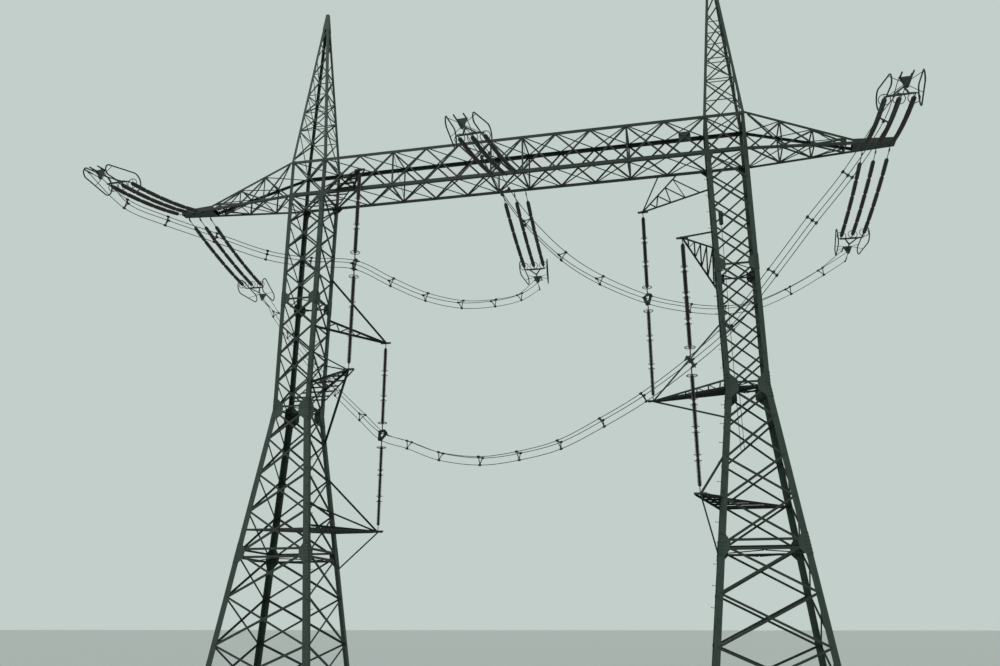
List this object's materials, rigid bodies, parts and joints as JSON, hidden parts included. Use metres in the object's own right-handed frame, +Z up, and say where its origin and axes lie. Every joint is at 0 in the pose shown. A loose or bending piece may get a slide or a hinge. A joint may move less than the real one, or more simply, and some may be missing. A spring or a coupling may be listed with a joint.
{
  "type": "lattice portal transmission pylon with strain insulators and jumper loops",
  "caption": "Two lattice steel towers carry a box beam with tapered arms, earth-wire peaks, strain insulator sets, jumper posts on brackets and slung conductor loops.",
  "frame": {"origin": "on the ground, midway between the two towers", "axes": "+X along the beam to the right seen from the front, +Y from the front to the back, +Z up"},
  "size_m": [34.89, 18.6205, 34.5011],
  "materials": {
    "painted_steel": "weathered grey-green paint on rolled angles",
    "insulator": "dark brown glaze",
    "fittings": "dull galvanised forgings",
    "conductor": "weathered stranded aluminium",
    "down_lead": "black cable sheath"
  },
  "bodies": {
    "root": {"left_legs_lower": "painted_steel", "left_legs_upper": "painted_steel", "left_lower_front_back": "painted_steel", "left_lower_sides": "painted_steel", "left_upper_front_back": "painted_steel", "left_upper_sides": "painted_steel", "left_diaphragms": "painted_steel", "left_peak": "painted_steel", "right_legs_lower": "painted_steel", "right_legs_upper": "painted_steel", "right_lower_front_back": "painted_steel", "right_lower_sides": "painted_steel", "right_upper_front_back": "painted_steel", "right_upper_sides": "painted_steel", "right_diaphragms": "painted_steel", "right_peak": "painted_steel", "beam_chords": "painted_steel", "beam_front_back": "painted_steel", "beam_top_bottom": "painted_steel", "beam_cross_frames": "painted_steel", "left_arm": "painted_steel", "right_arm": "painted_steel", "left_arm_tip": "painted_steel", "right_arm_tip": "painted_steel", "left_front_insulators": "insulator", "left_front_yoke": "fittings", "left_back_insulators": "insulator", "left_back_yoke": "fittings", "middle_front_insulators": "insulator", "middle_front_yoke": "fittings", "middle_back_insulators": "insulator", "middle_back_yoke": "fittings", "right_front_insulators": "insulator", "right_front_yoke": "fittings", "right_back_insulators": "insulator", "right_back_yoke": "fittings", "bracket_1": "painted_steel", "bracket_2": "painted_steel", "bracket_3": "painted_steel", "bracket_4": "painted_steel", "left_support_insulators": "insulator", "right_support_insulators": "insulator", "support_clamps": "fittings", "jumper_left": "conductor", "jumper_middle": "conductor", "jumper_right": "conductor", "jumper_spacers": "fittings", "blank_plate": "painted_steel", "down_lead": "down_lead"}
  },
  "joints": []
}
